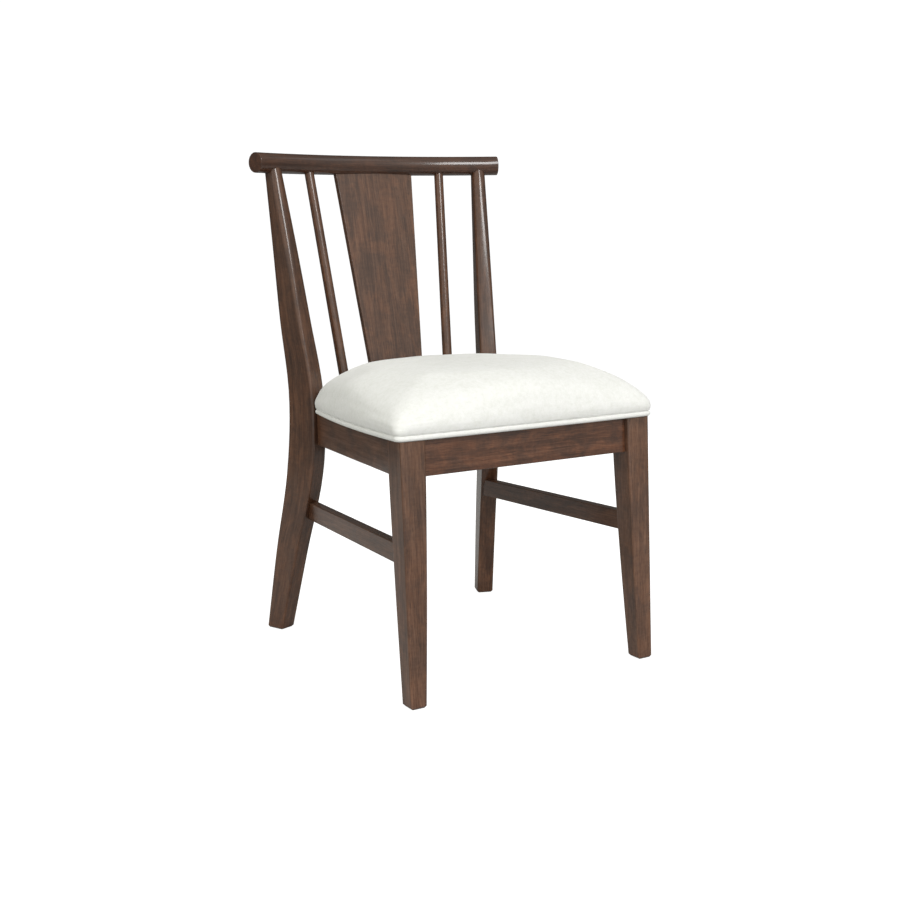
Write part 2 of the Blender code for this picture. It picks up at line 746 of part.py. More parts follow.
def filleted(corners):
    """An outline through corners given as point, radius, and the bow of the edge that follows."""
    arcs = []
    for i, (point, radius, bow) in enumerate(corners):
        before = (Vector(corners[i - 1][0]) - Vector(point)).normalized()
        after = (Vector(corners[(i + 1) % len(corners)][0]) - Vector(point)).normalized()
        half = before.angle(after) / 2
        centre = Vector(point) + (before + after).normalized() * (radius / sin(half))
        start = Vector(point) + before * radius * cos(half) / sin(half) - centre
        sweep = pi - 2 * half
        arcs.append([
            centre + Matrix.Rotation(sweep * step / (CORNER_STEPS - 1), 2) @ start
            for step in range(CORNER_STEPS)
        ])
    outline = []
    for i, arc in enumerate(arcs):
        outline += arc
        start, end = arc[-1], arcs[(i + 1) % len(arcs)][0]
        run = end - start
        outward = Vector((run.y, -run.x)).normalized()
        steps = max(round(run.length / outline_pitch), 1)
        for step in range(1, steps):
            t = step / steps
            outline.append(start + run * t + outward * corners[i][2] * 4 * t * (1 - t))
    return outline


def seat_corners():
    """Corners of the seat's outline outside the piping, anticlockwise from the front left."""
    front_y = front_leg_faces(SEAT_FRAME_TOP)[2] - SEAT_FRONT_OVERHANG
    heights = [SEAT_FRAME_TOP + CUSHION_HEIGHT * i / EDGE_STEPS for i in range(EDGE_STEPS + 1)]
    fronts = [post_front_point(z, SEAT_POST_INSET) for z in heights]
    corner = min(fronts, key=post_depth_axis.dot) - post_depth_axis * SEAT_POST_GAP
    rear_x = SEAT_REAR_WIDTH / 2
    rear = corner - post_width_axis * ((corner.x - rear_x) / post_width_axis.x)
    left = [
        ((SEAT_FRONT_WIDTH / 2, front_y), SEAT_FRONT_CORNER, SEAT_SIDE_BOW),
        (corner, SEAT_REAR_CORNER, 0.0),
        (rear, SEAT_REAR_CORNER, 0.0),
    ]
    right = [
        ((-rear.x, rear.y), SEAT_REAR_CORNER, 0.0),
        ((-corner.x, corner.y), SEAT_REAR_CORNER, SEAT_SIDE_BOW),
        ((-SEAT_FRONT_WIDTH / 2, front_y), SEAT_FRONT_CORNER, SEAT_FRONT_BOW),
    ]
    return left + right


outline_pitch = SEAT_FRONT_WIDTH / EDGE_STEPS
seat_outline = filleted(seat_corners())
seat_centre = Vector((0.0, (min(p.y for p in seat_outline) + max(p.y for p in seat_outline)) / 2))
seat_half_width = max(p.x for p in seat_outline)
seat_half_depth = max(p.y for p in seat_outline) - seat_centre.y
cover_bottom = SEAT_FRAME_TOP + FIT
wall_inset = PIPING_DIAMETER + FIT
board_bottom = cover_bottom + FABRIC_THICKNESS + FIT
board_top = board_bottom + BOARD_THICKNESS
flange_scale = 1 - FLANGE_WIDTH / (SEAT_FRONT_WIDTH / 2)
board_scale = 1 - BOARD_INSET / (SEAT_FRONT_WIDTH / 2)
seat_screw_length = BLOCK_HEIGHT + board_bottom - SEAT_FRAME_TOP + SEAT_SCREW_BITE


def seat_ring(z, inset=0.0, scale=1.0):
    """The seat's outline moved in by an inset and then scaled about its middle, at a height."""
    points = [seat_centre + (point - seat_centre) * scale for point in shrunk(seat_outline, inset)]
    return [(point.x, point.y, z) for point in points]


def cushion_ring(scale, height, lower, inset):
    """One outline of the cushion, its corners drawn down, lowered and moved in by small amounts."""
    lift = max(height - CUSHION_DROP_START, 0.0) / (CUSHION_HEIGHT - CUSHION_DROP_START)
    ring = []
    for x, y, z in seat_ring(cover_bottom + height - lower, inset, scale):
        towards_corner = abs(x * (y - seat_centre.y)) / (seat_half_width * seat_half_depth * scale ** 2)
        drop = CUSHION_CORNER_DROP * min(towards_corner, 1.0) * scale ** CUSHION_DROP_POWER
        ring.append((x, y, z - drop * lift))
    return ring


def cushion_rings(lower, inset):
    """The bulged side and the crown of the cushion, bottom to top."""
    bulge = CUSHION_CROWN_SHARES[0]
    rings = [cushion_ring(bulge[0], bulge[1] * CUSHION_HEIGHT, 0.0, inset - CUSHION_BULGE)]
    for scale, share in CUSHION_CROWN_SHARES[1:]:
        rings.append(cushion_ring(scale, share * CUSHION_HEIGHT, lower, inset))
    return rings


def make_cover():
    """The fabric: turned under the board, up behind the piping, and over the cushion."""
    piping_top = cover_bottom + PIPING_DIAMETER
    rings = [
        seat_ring(cover_bottom, wall_inset, flange_scale),
        seat_ring(cover_bottom, wall_inset),
        seat_ring(piping_top, wall_inset),
        seat_ring(piping_top + SEAM_RISE, SEAM_DEPTH),
        seat_ring(piping_top + SEAM_RISE + CUSHION_TUCK, CUSHION_TUCK),
    ]
    rings += cushion_rings(0.0, 0.0)
    cover = smooth(loft("seat_cover", rings, seat_fabric), radians(60))
    underside = (len(rings) - 1) * len(rings[0])
    bm = bmesh.new()
    bm.from_mesh(cover.data)
    bm.faces.ensure_lookup_table()
    bmesh.ops.delete(bm, geom=[bm.faces[underside]], context="FACES_ONLY")
    bm.to_mesh(cover.data)
    bm.free()
    shell = cover.modifiers.new("fabric thickness", "SOLIDIFY")
    shell.thickness = FABRIC_THICKNESS
    shell.offset = -1.0
    shell.use_even_offset = True
    return cover


def make_seat():
    """Board, filling, fabric, piping and dust cover."""
    flat = [(x, y) for x, y, z in seat_ring(0.0, 0.0, board_scale)]
    plate("seat_board", flat, BOARD_THICKNESS, Matrix.Translation((0.0, 0.0, (board_bottom + board_top) / 2)),
          board_wood)
    under_fabric = FABRIC_THICKNESS + 2 * FIT
    foam = [seat_ring(board_top + FIT, SEAM_DEPTH)] + cushion_rings(under_fabric, under_fabric)
    smooth(loft("seat_foam", foam, foam_filling), radians(60))
    make_cover()
    piping_path = seat_ring(cover_bottom + PIPING_DIAMETER / 2, PIPING_DIAMETER / 2)
    smooth(tube("seat_piping", piping_path, PIPING_DIAMETER, PIPING_BEVEL_RESOLUTION, seat_fabric, True))
    opening = [(x, y) for x, y, z in seat_ring(0.0, wall_inset, flange_scale)]
    cloth = shrunk(opening, DUST_COVER_GAP)
    cloth_z = board_bottom - FIT - DUST_COVER_THICKNESS / 2
    plate("dust_cover", cloth, DUST_COVER_THICKNESS, Matrix.Translation((0.0, 0.0, cloth_z)), dust_cloth)


def bore_holes():
    """Bore every noted hole, one tool for each piece and layer."""
    for (target, layer), lines in holes.items():
        cut(bpy.data.objects[target], rods(target + "_" + layer, lines))


crest_space = tube("crest_space", crest_points(OVERRUN), CREST_DIAMETER + 2 * FIT, CREST_BEVEL_RESOLUTION, None)
leg_space_rings = [
    front_leg_ring(-OVERRUN + (SEAT_FRAME_TOP + 2 * OVERRUN) * i / FRONT_LEG_STATIONS, -FIT)
    for i in range(FRONT_LEG_STATIONS + 1)
]
leg_spaces = {hand: loft("front_leg_space_" + hand, leg_space_rings, None, side) for side, hand in HANDS}
post_space_rings = post_rings(0.0, crest_z, POST_STATIONS, FIT)
post_spaces = {hand: loft("back_post_space_" + hand, post_space_rings, None, side) for side, hand in HANDS}

make_front_legs()
make_back_posts()
crest_rail = make_crest()
make_spindles()
splat_space = make_splat()
cut(crest_rail, splat_space)
front_rail_inner_y = make_front_rail()
rear_rail_inner_y = make_rear_rail()
side_rail_start, side_rail_run = make_side_member(
    "side_seat_rail", rail_middle, SIDE_RAIL_RECESS, SIDE_RAIL_THICKNESS, rail_bottom, RAIL_HEIGHT,
    rail_heights(-RAIL_DOWEL_STAGGER),
)
make_side_member(
    "side_stretcher", stretcher_middle, STRETCHER_RECESS, STRETCHER_THICKNESS, STRETCHER_BOTTOM,
    STRETCHER_HEIGHT, [stretcher_middle + STRETCHER_DOWEL_PITCH / 2 * way for way in (-1, 1)],
)
make_seat()
make_corner_blocks(front_rail_inner_y, rear_rail_inner_y, side_rail_start, side_rail_run)
bore_holes()
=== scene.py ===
"""The finished look of the spindle back dining chair.

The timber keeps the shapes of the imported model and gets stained, lacquered wood. The upholstery is
rebuilt here: a stuffed cushion swollen by a cloth simulation, its welt, the fabric turned under the
seat board, and the cloth beneath. Metres, +Z up, the sitter faces -Y.
"""
from functools import partial
from math import cos, pi, radians, sin

import bpy
from mathutils import Matrix, Vector, noise
from mathutils.kdtree import KDTree


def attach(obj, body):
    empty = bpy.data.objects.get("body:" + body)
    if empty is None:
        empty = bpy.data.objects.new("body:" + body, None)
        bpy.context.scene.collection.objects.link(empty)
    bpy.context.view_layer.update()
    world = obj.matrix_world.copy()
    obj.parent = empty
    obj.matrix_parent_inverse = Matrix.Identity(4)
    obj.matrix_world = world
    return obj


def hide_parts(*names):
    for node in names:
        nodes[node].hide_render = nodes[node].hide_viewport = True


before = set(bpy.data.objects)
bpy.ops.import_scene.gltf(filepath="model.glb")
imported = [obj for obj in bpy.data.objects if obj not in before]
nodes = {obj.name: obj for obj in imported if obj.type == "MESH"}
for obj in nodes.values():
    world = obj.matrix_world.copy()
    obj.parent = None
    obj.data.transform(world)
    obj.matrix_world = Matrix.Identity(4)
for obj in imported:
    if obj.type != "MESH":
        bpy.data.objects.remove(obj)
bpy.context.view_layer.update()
scene = bpy.context.scene

# Camera
CAMERA_PLACE = (-1.0649, -1.8751, 0.6720)
CAMERA_HEADING = radians(30.17)
CAMERA_PITCH = radians(9.3)
CAMERA_ROLL = radians(-1.4)
FOCAL_PIXELS = 1275.2
FRAME_PIXELS = 920
SENSOR_WIDTH = 36.0

# Floor and backdrop, whose glow only the camera sees
FLOOR_SIZE = 3.6
FLOOR_CELLS = 8
FLOOR_DROP = 0.0004
FLOOR_GLOW = 0.90
BACKDROP_GLOW = 1.05

# Sky, brightest toward one direction
SKY_TOWARD = (-0.34, -0.76, 0.55)
SKY_SPAN = (-0.25, 0.9)
SKY_LEVELS = (0.08, 0.77)
SKY_COLOUR = (1.0, 1.0, 0.955, 1.0)

# Soft boxes, with sides as seen in the picture: heading and elevation in degrees, size, power, colour,
# and whether the lacquer reflects them
LIGHT_DISTANCE = 6.0
LIGHT_AIM = Vector((0.0, 0.0, 0.5))
SOFT_BOXES = (
    ("key", 4, 34, (1.8, 2.6), 144.0, (1.0, 0.998, 0.992), True),
    ("front", -4, 4, (3.0, 3.0), 56.0, (1.0, 0.995, 0.98), False),
    ("side", 66, 54, (2.0, 2.0), 6.0, (1.0, 0.99, 0.98), True),
    ("right", 108, 18, (3.0, 3.0), 90.0, (1.0, 1.0, 0.98), False),
    ("back", 176, 22, (3.0, 3.0), 120.0, (1.0, 1.0, 0.98), False),
    ("left", -74, 24, (3.0, 3.0), 105.0, (1.0, 1.0, 0.915), False),
)

# Colour ramps: place on the ramp, and colour
FLOOR_TONES = ((0.3, (0.36, 0.36, 0.357)), (0.7, (0.38, 0.38, 0.38)))
WOOD_TONES = (
    (0.36, (0.062, 0.0262, 0.0132)), (0.47, (0.090, 0.0400, 0.0210)),
    (0.54, (0.114, 0.0530, 0.0290)), (0.65, (0.146, 0.0720, 0.0420)),
)
CLOUD_TONES = ((0.40, (0.66, 0.70, 0.78)), (0.50, (1.0, 1.0, 1.0)), (0.60, (1.30, 1.24, 1.16)))
BLOCK_TONES = ((0.35, (0.40, 0.27, 0.15)), (0.65, (0.58, 0.43, 0.27)))
DOWEL_TONES = ((0.35, (0.48, 0.34, 0.20)), (0.65, (0.66, 0.51, 0.33)))
BOARD_TONES = ((0.35, (0.50, 0.37, 0.22)), (0.65, (0.68, 0.54, 0.36)))
FABRIC_TONES = ((0.36, (0.765, 0.770, 0.740)), (0.50, (0.810, 0.813, 0.792)), (0.64, (0.840, 0.842, 0.828)))
DUST_TONES = ((0.35, (0.010, 0.010, 0.011)), (0.65, (0.034, 0.034, 0.036)))
ZINC_TONES = ((0.35, (0.52, 0.44, 0.27)), (0.65, (0.68, 0.62, 0.45)))

# Tints of single boards; on the side rails the cool tint paints in a grey reflection
PLAIN = (1.0, 1.0, 1.0)
COOL = (1.0, 1.05, 1.12)
WARM = (1.06, 0.94, 0.88)
WARMEST = (1.06, 0.92, 0.84)

# Noises: scale along each axis per metre, detail, roughness and distortion; wood's grain runs along z
FLOOR_PATCHES = ((1.5, 1.5, 1.5),)
SWAY = ((11.0, 11.0, 2.6), 2.0)
STREAKS = ((120.0, 120.0, 5.0), 5.0, 0.66)
FIBRES = ((560.0, 560.0, 20.0), 3.0, 0.7)
PORES = ((1150.0, 1150.0, 60.0), 2.0, 0.5)
CLOUDS = ((32.0, 32.0, 18.0), 4.0, 0.6, 0.8)
FLECKS = ((70.0, 70.0, 240.0), 3.0, 0.6)
RAW_STREAKS = ((160.0, 160.0, 7.0), 4.0, 0.6)
RAW_FIBRES = ((900.0, 900.0, 30.0), 2.0)
WEFT = ((160.0, 1150.0, 1.0), 3.0, 0.6)
WARP = ((1150.0, 160.0, 1.0), 3.0, 0.6)
MOTTLE = ((130.0, 130.0, 130.0), 4.0, 0.66)
PATCHES = ((30.0, 30.0, 30.0), 2.0, 0.5)
MATTED_FIBRES = ((900.0, 380.0, 380.0), 4.0, 0.7, 1.2)
WEAR = ((900.0, 900.0, 900.0), 3.0)

# Spans of a value, and the levels that they are mapped to
PORE_SHADE = (0.30, 0.42, 0.55, 1.0)
STREAK_ROUGHNESS = (0.3, 0.7, 0.46, 0.34)
THREAD_SHADE = (0.75, 1.25, 0.955, 1.03)
WEAR_ROUGHNESS = (0.3, 0.7, 0.26, 0.42)

# Wood and weave: the grain's sway, each seed's shift, and the heights over which painted floor light fades
# out
SWAY_REACH = 0.016
SEED_SHIFT = (0.37, 0.61, 0.23)
PAINTED_FLOOR_LIGHT_FADE = (0.02, 0.50)
BUMP_DEPTH = 0.0003
THREAD_PITCH = 0.0008

# Back post and crest lines that their grain follows
POST_HEIGHT = 0.8286
POST_RAKES = (
    (0.0, 0.0919), (0.18, 0.0524), (0.36, 0.0101), (0.52, 0.0),
    (0.68, 0.0192), (0.83, 0.0367), (1.0, 0.0582),
)
POST_TURN = radians(21.5)
CURVE_GAIN = 10
CREST_BEND = 0.7190
CREST_MIDDLE_Y = 0.2495

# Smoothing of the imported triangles
MERGE_DISTANCE = 0.000004
SHARP_ANGLE = radians(36)

# Seat outline outside the welt: corner, radius, and bow of the edge that follows
SEAT_CORNERS = (
    ((-0.1350, 0.14875), 0.012, 0.0),
    ((-0.18581, 0.12874), 0.008, 0.0095),
    ((-0.2350, -0.2672), 0.013, 0.0035),
    ((0.2350, -0.2672), 0.013, 0.0095),
    ((0.18581, 0.12874), 0.008, 0.0),
    ((0.1350, 0.14875), 0.012, 0.0),
)
SEAT_CENTRE = Vector((0.0, -0.0609))
SEAT_HALF = (0.2335, 0.2097)
OUTLINE_PITCH = 0.0035
ARC_STEPS = 14

# Seat levels, the welt, and how far the cover's wall lies inside the outline
COVER_BOTTOM = 0.4023
BOARD_TOP = 0.4161
WELT_DIAMETER = 0.0086
WALL_INSET = 0.0089

# Cushion: its form, with plan scale and height share from the seam to the middle
CUSHION_HEIGHT = 0.0925
CUSHION_BULGE = 0.0015
BULGE_FADE = 6
CORNER_DROP = 0.0440
DROP_START = 0.0120
DROP_POWER = 4.6
CROWN_SHARES = (
    (1.003, 0.25), (1.010, 0.42), (1.001, 0.60), (0.973, 0.73), (0.922, 0.83),
    (0.840, 0.90), (0.700, 0.955), (0.480, 0.985), (0.240, 1.0), (0.0, 1.002),
)
CUSHION_POINTS = 440
CUSHION_ROWS = 66
CUSHION_REACH = 0.97

# Cushion's seam behind the welt: inset and height of each row
SEAM_TOP = COVER_BOTTOM + WELT_DIAMETER + 0.0008
SEAM_ROWS = (
    (WALL_INSET, BOARD_TOP - 0.006), (0.0052, SEAM_TOP - 0.0016), (0.0028, SEAM_TOP - 0.0010),
    (0.0008, SEAM_TOP + 0.0006), (-0.0003, SEAM_TOP + 0.0030),
)

# Cushion's simulated copy
CORE_POINTS = 160
CORE_ROWS = 25
CORE_REACH = 0.96
CORE_INSET = 0.0032
CORE_BASE_INSET = 0.008
CORE_BASE_RISE = 0.0004
VOXEL_SIZE = 0.006
HELD_RISE = 0.012
LAST_FRAME = 20
CLOTH_SETTINGS = {
    "quality": 5,
    "mass": 0.25,
    "tension_stiffness": 22.0,
    "compression_stiffness": 22.0,
    "bending_stiffness": 1.5,
    "use_pressure": True,
    "uniform_pressure_force": 4.0,
    "vertex_group_mass": "held",
}

# How the simulated moves are carried over: longest move, neighbours, their blur, and upward share
SWELL_CAP = 0.0055
SWELL_NEIGHBOURS = 12
SWELL_BLUR = 0.003
SWELL_UPWARD = 0.55

# Easing of the cushion's rows, and the gathers at its seam, in waves per metre
EASE_PASSES = 3
EASE_MORE = 70
EASE_ROWS = 34
GATHER_START = 2
GATHER_ROWS = 20
GATHER_DEPTH = 0.0007
GATHER_WAVES = 95.0
GATHER_FINE_WAVES = 210.0
GATHER_FINE_SHARE = 0.6
GATHER_UPWARD = 0.25

# Welt, flange and dust cloth, their unevenness in waves per metre
WELT_POINTS = 560
WELT_SIDES = 16
WELT_SLOW_WAVES = 60.0
WELT_SLOW_SHARE = 0.022
WELT_QUICK_WAVES = 260.0
WELT_QUICK_SHARE = 0.010
FLANGE_POINTS = 240
FLANGE_ROWS = 8
FLANGE_SCALE = 0.8283
FLANGE_INSET = WALL_INSET + 0.0010
FLANGE_RIPPLE = 0.0002
FLANGE_WAVES = 70.0
FLANGE_THICKNESS = 0.0009
DUST_POINTS = 160
DUST_ROWS = 24
DUST_INSET = WALL_INSET + 0.0005
DUST_RISE = 0.0011
DUST_SAG = 0.0016
DUST_RIPPLE = 0.0003
DUST_THICKNESS = 0.0005


# Camera, floor and light

def place_camera():
    """The photograph's viewpoint: heading, pitch and roll about the lens."""
    level = cos(CAMERA_PITCH)
    ahead = Vector((sin(CAMERA_HEADING) * level, cos(CAMERA_HEADING) * level, -sin(CAMERA_PITCH)))
    right = Vector((cos(CAMERA_HEADING), -sin(CAMERA_HEADING), 0.0))
    up = right.cross(ahead)
    across = right * cos(CAMERA_ROLL) + up * sin(CAMERA_ROLL)
    over = up * cos(CAMERA_ROLL) - right * sin(CAMERA_ROLL)
    data = bpy.data.cameras.new("camera")
    data.sensor_width = SENSOR_WIDTH
    data.lens = FOCAL_PIXELS / FRAME_PIXELS * SENSOR_WIDTH
    camera = bpy.data.objects.new("camera", data)
    scene.collection.objects.link(camera)
    turn = Matrix((across, over, -ahead)).transposed().to_4x4()
    camera.matrix_world = Matrix.Translation(CAMERA_PLACE) @ turn
    scene.camera = camera


def add_light(name, heading, elevation, size, power, colour, glossy):
    """A soft box that faces the seat; heading 0 is in front of the sitter and 90 at the sitter's left."""
    data = bpy.data.lights.new(name, "AREA")
    data.shape = "RECTANGLE"
    data.size, data.size_y = size
    data.energy = power
    data.color = colour
    lamp = bpy.data.objects.new(name, data)
    scene.collection.objects.link(lamp)
    turn = radians(heading)
    tilt = radians(elevation)
    away = Vector((sin(turn) * cos(tilt), -cos(turn) * cos(tilt), sin(tilt)))
    lamp.location = LIGHT_AIM + away * LIGHT_DISTANCE
    lamp.rotation_euler = (-away).to_track_quat("-Z", "Y").to_euler()
    lamp.visible_camera = False
    lamp.visible_glossy = glossy


def make_world():
    """A sky that lights the chair, behind a white backdrop that the camera sees."""
    world = bpy.data.worlds.new("studio")
    scene.world = world
    world.use_nodes = True
    tree = world.node_tree
    tree.nodes.clear()
    seen = add(tree, "Background", {"Color": (1.0, 1.0, 1.0, 1.0), "Strength": BACKDROP_GLOW})
    heading = add(tree, "TexCoord").outputs["Generated"]
    toward = add(tree, "VectorMath", {0: heading, 1: SKY_TOWARD}, operation="DOT_PRODUCT")
    strength = grey(tree, toward.outputs["Value"], *SKY_SPAN, *SKY_LEVELS)
    fill = add(tree, "Background", {"Color": SKY_COLOUR, "Strength": strength})
    to_camera = add(tree, "LightPath").outputs["Is Camera Ray"]
    mix = add(tree, "MixShader", {0: to_camera, 1: fill.outputs[0], 2: seen.outputs[0]})
    add(tree, "OutputWorld", {0: mix.outputs[0]})


def make_surroundings():
    """A pale floor, a white backdrop and soft boxes."""
    make_world()
    bpy.ops.mesh.primitive_grid_add(x_subdivisions=FLOOR_CELLS, y_subdivisions=FLOOR_CELLS, size=FLOOR_SIZE,
                                    location=(0.0, 0.0, -FLOOR_DROP))
    floor = bpy.context.object
    floor.name = "floor"
    floor.data.materials.append(floor_material())
    for soft_box in SOFT_BOXES:
        add_light(*soft_box)


# Materials

def add(tree, kind, inputs=None, **settings):
    """Add a shader node; a socket given as an input is linked."""
    node = tree.nodes.new("ShaderNode" + kind)
    for key, value in settings.items():
        setattr(node, key, value)
    for key, value in (inputs or {}).items():
        if isinstance(value, bpy.types.NodeSocket):
            tree.links.new(value, node.inputs[key])
        else:
            node.inputs[key].default_value = value
    return node


def new_material(name, **sockets):
    """A Principled material with plain values set on its own sockets."""
    material = bpy.data.materials.new(name)
    material.use_nodes = True
    shader = material.node_tree.nodes["Principled BSDF"]
    for key, value in sockets.items():
        shader.inputs[key.replace("_", " ")].default_value = value
    return material, material.node_tree, shader


def ramp(tree, fac, stops):
    """A colour ramp through stops of place and colour."""
    node = add(tree, "ValToRGB", {"Fac": fac})
    steps = node.color_ramp.elements
    while len(steps) < len(stops):
        steps.new(0.5)
    for step, (place, colour) in zip(steps, stops):
        step.position = place
        step.color = (*colour, 1.0)
    return node.outputs["Color"]


def grey(tree, fac, low, high, to_low=0.0, to_high=1.0):
    """A value mapped from one span to another, and held there."""
    spans = {"Value": fac, "From Min": low, "From Max": high, "To Min": to_low, "To Max": to_high}
    return add(tree, "MapRange", spans).outputs["Result"]


def noise_at(tree, vector, scale, detail=3.0, rough=0.55, distortion=0.0, output="Fac"):
    """Noise over a vector stretched by a scale along each axis."""
    stretched = add(tree, "VectorMath", {0: vector, 1: scale}, operation="MULTIPLY").outputs[0]
    inputs = {"Vector": stretched, "Scale": 1.0, "Detail": detail, "Roughness": rough}
    return add(tree, "TexNoise", {**inputs, "Distortion": distortion}).outputs[output]


def blend(tree, factor, first, second, mode="MIX"):
    """Mix two colours."""
    colours = {0: factor, 6: first, 7: second}
    return add(tree, "Mix", colours, data_type="RGBA", blend_type=mode).outputs[2]


def combine(tree, first, second, operation="ADD"):
    """Arithmetic on two values."""
    return add(tree, "Math", {0: first, 1: second}, operation=operation).outputs[0]


def weighed(tree, *parts):
    """The sum of values, each times its share."""
    total = None
    for value, share in parts:
        part = combine(tree, value, share, "MULTIPLY")
        total = part if total is None else combine(tree, total, part)
    return total


def shaded(tree, colour, value):
    """A colour times a grey value."""
    level = add(tree, "CombineColor", {0: value, 1: value, 2: value}).outputs[0]
    return blend(tree, 1.0, colour, level, "MULTIPLY")


def roughen(tree, shader, height, strength):
    """Fine relief on a surface, from a height value."""
    bump = add(tree, "Bump", {"Height": height, "Strength": strength, "Distance": BUMP_DEPTH})
    tree.links.new(bump.outputs[0], shader.inputs["Normal"])


def floor_material():
    """Pale matt floor with faint unevenness."""
    material, tree, shader = new_material("pale_floor", Roughness=0.9, Specular_IOR_Level=0.1,
                                          Emission_Color=(1.0, 1.0, 1.0, 1.0))
    place = add(tree, "TexCoord").outputs["Object"]
    soft = noise_at(tree, place, *FLOOR_PATCHES)
    tree.links.new(ramp(tree, soft, FLOOR_TONES), shader.inputs["Base Color"])
    seen = add(tree, "LightPath").outputs["Is Camera Ray"]
    tree.links.new(combine(tree, seen, FLOOR_GLOW, "MULTIPLY"), shader.inputs["Emission Strength"])
    return material


def along_rake(tree, place, side):
    """Coordinates that lean with a back post, so that its grain runs down both limbs."""
    split = add(tree, "SeparateXYZ", {0: place})
    height = grey(tree, split.outputs["Z"], 0.0, POST_HEIGHT)
    curve = add(tree, "FloatCurve", {"Value": height})
    points = curve.mapping.curves[0].points
    while len(points) < len(POST_RAKES):
        points.new(0.5, 0.5)
    for point, (share, rake) in zip(points, POST_RAKES):
        point.location = (share, rake * CURVE_GAIN)
    curve.mapping.update()
    lean = combine(tree, curve.outputs[0], 1 / CURVE_GAIN, "MULTIPLY")
    sideways = combine(tree, lean, sin(POST_TURN) * side, "MULTIPLY")
    x = combine(tree, split.outputs["X"], sideways, "SUBTRACT")
    backward = combine(tree, lean, cos(POST_TURN), "MULTIPLY")
    y = combine(tree, split.outputs["Y"], backward, "SUBTRACT")
    return add(tree, "CombineXYZ", {"X": x, "Y": y, "Z": split.outputs["Z"]}).outputs[0]


def along_bow(tree, place):
    """Coordinates that follow the crest's arc: run, radius and height."""
    split = add(tree, "SeparateXYZ", {0: place})
    depth = combine(tree, split.outputs["Y"], CREST_BEND - CREST_MIDDLE_Y)
    angle = combine(tree, split.outputs["X"], depth, "ARCTAN2")
    run = combine(tree, angle, CREST_BEND, "MULTIPLY")
    flat = add(tree, "CombineXYZ", {"X": split.outputs["X"], "Y": depth, "Z": 0.0}).outputs[0]
    radius = add(tree, "VectorMath", {0: flat}, operation="LENGTH").outputs["Value"]
    return add(tree, "CombineXYZ", {"X": run, "Y": radius, "Z": split.outputs["Z"]}).outputs[0]


def turned_to_grain(tree, place, axis, shift=(0.0, 0.0, 0.0)):
    """Coordinates turned so that the grain's axis lies along z."""
    turn = Vector(axis).rotation_difference(Vector((0.0, 0.0, 1.0))).to_euler()
    return add(tree, "Mapping", {"Vector": place, "Rotation": turn, "Location": shift}).outputs[0]


def stained_wood(name, axis, seed, lift=1.0, blotch=0.6, contrast=1.25, follow=None, tint=PLAIN, foot=1.0):
    """Stained and lacquered hardwood with its grain along an axis; every board has its own seed.

    lift and tint scale the colour, and on some boards they paint in light and shade. blotch is the strength
    of the clouds and contrast that of the figure.
    follow bends the grain along a curved piece; the last argument is painted floor light, the brightness at
    the floor.
    """
    material, tree, shader = new_material(name, Coat_Weight=1.0, Coat_Roughness=0.17, Coat_IOR=1.6,
                                          Specular_IOR_Level=0.14)
    place = add(tree, "TexCoord").outputs["Object"]
    if follow:
        place = follow(tree, place)
    board = turned_to_grain(tree, place, axis, [part * seed for part in SEED_SHIFT])
    sway = noise_at(tree, board, *SWAY, output="Color")
    sway = add(tree, "VectorMath", {0: sway, 1: (0.5, 0.5, 0.5)}, operation="SUBTRACT").outputs[0]
    sway = add(tree, "VectorMath", {0: sway, "Scale": SWAY_REACH}, operation="SCALE").outputs[0]
    board = add(tree, "VectorMath", {0: board, 1: sway}, operation="ADD").outputs[0]

    streaks = noise_at(tree, board, *STREAKS)
    fibres = noise_at(tree, board, *FIBRES)
    pores = noise_at(tree, board, *PORES)
    clouds = noise_at(tree, board, *CLOUDS)
    flecks = noise_at(tree, board, *FLECKS)

    figure = weighed(tree, (streaks, 0.42), (fibres, 0.42), (flecks, 0.12))
    figure = grey(tree, figure, 0.5 - 0.5 / contrast, 0.5 + 0.5 / contrast)
    tones = []
    for stop, colour in WOOD_TONES:
        tones.append((stop, tuple(part * lift * share for part, share in zip(colour, tint))))
    tone = ramp(tree, figure, tones)
    clouded = blend(tree, 1.0, tone, ramp(tree, clouds, CLOUD_TONES), "MULTIPLY")
    tone = blend(tree, blotch, tone, clouded)
    tone = shaded(tree, tone, grey(tree, pores, *PORE_SHADE))
    # Painted light from the floor: the wood is painted brighter towards its foot, fading out upward.
    height = add(tree, "SeparateXYZ", {0: add(tree, "TexCoord").outputs["Object"]}).outputs["Z"]
    tone = shaded(tree, tone, grey(tree, height, *PAINTED_FLOOR_LIGHT_FADE, foot, 1.0))
    tree.links.new(tone, shader.inputs["Base Color"])
    tree.links.new(grey(tree, streaks, *STREAK_ROUGHNESS), shader.inputs["Roughness"])
    roughen(tree, shader, weighed(tree, (pores, 0.5), (fibres, 0.5)), 0.12)
    return material


def raw_wood(name, axis, tones, roughness=0.7):
    """Unfinished timber: pale, with soft grain along an axis."""
    material, tree, shader = new_material(name, Roughness=roughness, Specular_IOR_Level=0.25)
    board = turned_to_grain(tree, add(tree, "TexCoord").outputs["Object"], axis)
    streaks = noise_at(tree, board, *RAW_STREAKS)
    fibres = noise_at(tree, board, *RAW_FIBRES)
    figure = weighed(tree, (streaks, 0.7), (fibres, 0.3))
    tree.links.new(ramp(tree, figure, tones), shader.inputs["Base Color"])
    roughen(tree, shader, fibres, 0.3)
    return material


